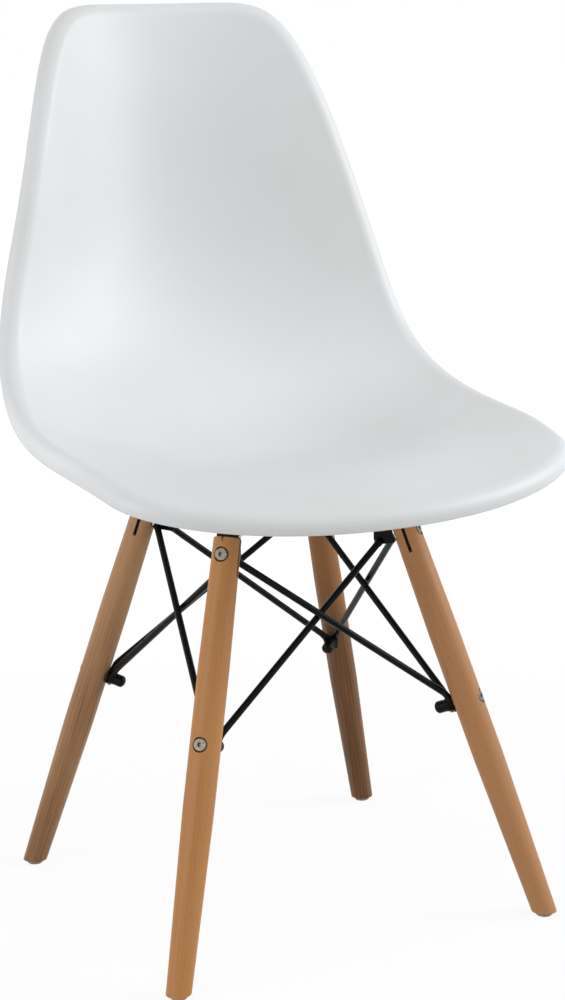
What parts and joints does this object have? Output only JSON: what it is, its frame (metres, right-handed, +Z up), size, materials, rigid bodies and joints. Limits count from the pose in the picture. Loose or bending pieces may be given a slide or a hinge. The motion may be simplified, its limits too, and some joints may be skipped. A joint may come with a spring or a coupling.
{
  "type": "shell chair",
  "caption": "Side chair with a white moulded bucket shell on four splayed round wooden legs, braced by crossing black steel rods.",
  "frame": {"origin": "on the floor, under the middle of the chair's overall box", "axes": "+Z up, the sitter faces -Y, +X is the sitter's left"},
  "size_m": [0.4668, 0.4845, 0.829],
  "materials": {
    "shell_plastic": "satin moulded polypropylene, white",
    "beech": "clear satin lacquer on beech",
    "black_steel": "black powder coat, half gloss",
    "black_cap": "black coated cap nut",
    "bolt_steel": "zinc plated socket head",
    "bright_steel": "zinc plated",
    "insert_brass": "turned brass",
    "pad_rubber": "black rubber",
    "glide_plastic": "grey nylon"
  },
  "bodies": {
    "root": {"bracket_front_left": "black_steel", "bracket_front_right": "black_steel", "bracket_rear_left": "black_steel", "bracket_rear_right": "black_steel", "foot_glide_front_left": "glide_plastic", "foot_glide_front_right": "glide_plastic", "foot_glide_rear_left": "glide_plastic", "foot_glide_rear_right": "glide_plastic", "glide_nails": "bright_steel", "leg_front_left": "beech", "leg_front_right": "beech", "leg_rear_left": "beech", "leg_rear_right": "beech", "lower_cap_nuts": "black_cap", "lower_leg_bolts": "bolt_steel", "mount_pads": "pad_rubber", "rod_front_left_to_front_right": "black_steel", "rod_front_left_to_rear_left": "black_steel", "rod_front_right_to_front_left": "black_steel", "rod_front_right_to_rear_right": "black_steel", "rod_rear_left_to_front_left": "black_steel", "rod_rear_left_to_rear_right": "black_steel", "rod_rear_right_to_front_right": "black_steel", "rod_rear_right_to_rear_left": "black_steel", "seat_shell": "shell_plastic", "shell_bolts": "black_steel", "shell_inserts": "insert_brass", "shell_washers": "bright_steel", "upper_leg_bolts": "bolt_steel", "upper_leg_nuts": "bright_steel"}
  },
  "joints": []
}
